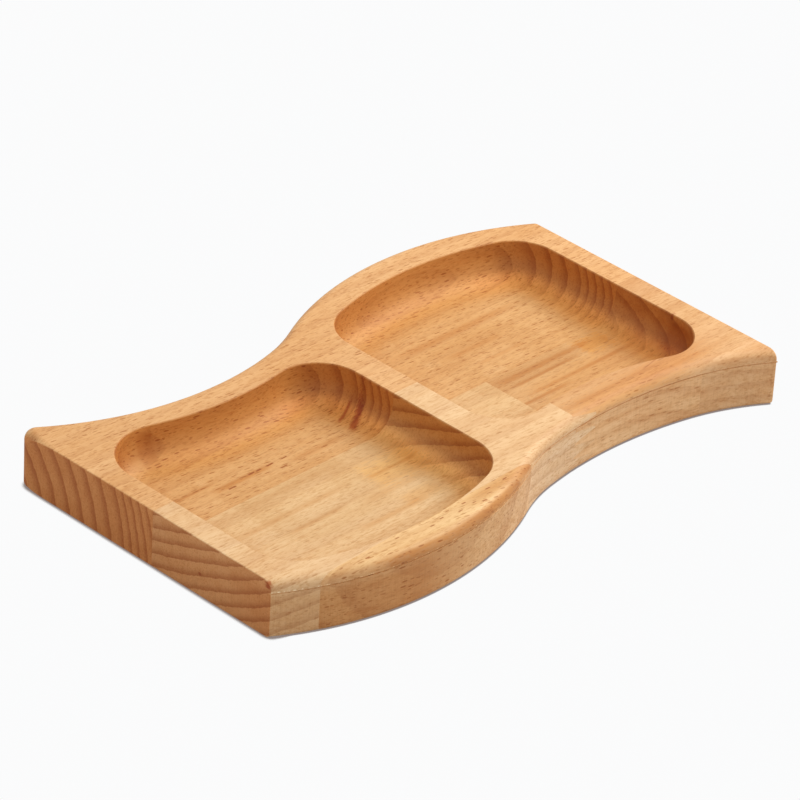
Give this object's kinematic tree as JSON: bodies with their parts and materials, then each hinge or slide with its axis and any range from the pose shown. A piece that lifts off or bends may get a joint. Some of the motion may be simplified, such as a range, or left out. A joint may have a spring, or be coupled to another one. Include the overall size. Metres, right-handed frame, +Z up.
{
  "type": "coin tray",
  "caption": "Low wooden tray with waved long sides and scooped coved pockets for coins, routed into a panel of edge-glued and finger-jointed staves.",
  "frame": {"origin": "middle of the underside, halfway along the length and between the two long sides", "axes": "+X along the length towards the pocket behind the finger joint, +Z up, towards the open mouths of the pockets"},
  "size_m": [0.214, 0.1292, 0.02],
  "materials": {
    "oiled_beech_back": "oiled satin, flecked, brown growth streaks",
    "oiled_beech_middle_light": "oiled satin, light and even",
    "oiled_beech_middle_dark": "oiled satin, brown streaks",
    "oiled_beech_front": "oiled satin, redder, flecked"
  },
  "bodies": {
    "root": {"back_stave": "oiled_beech_back", "middle_stave_left": "oiled_beech_middle_light", "middle_stave_right": "oiled_beech_middle_dark", "front_stave_bulge": "oiled_beech_front", "front_stave_corner": "oiled_beech_front"}
  },
  "joints": []
}
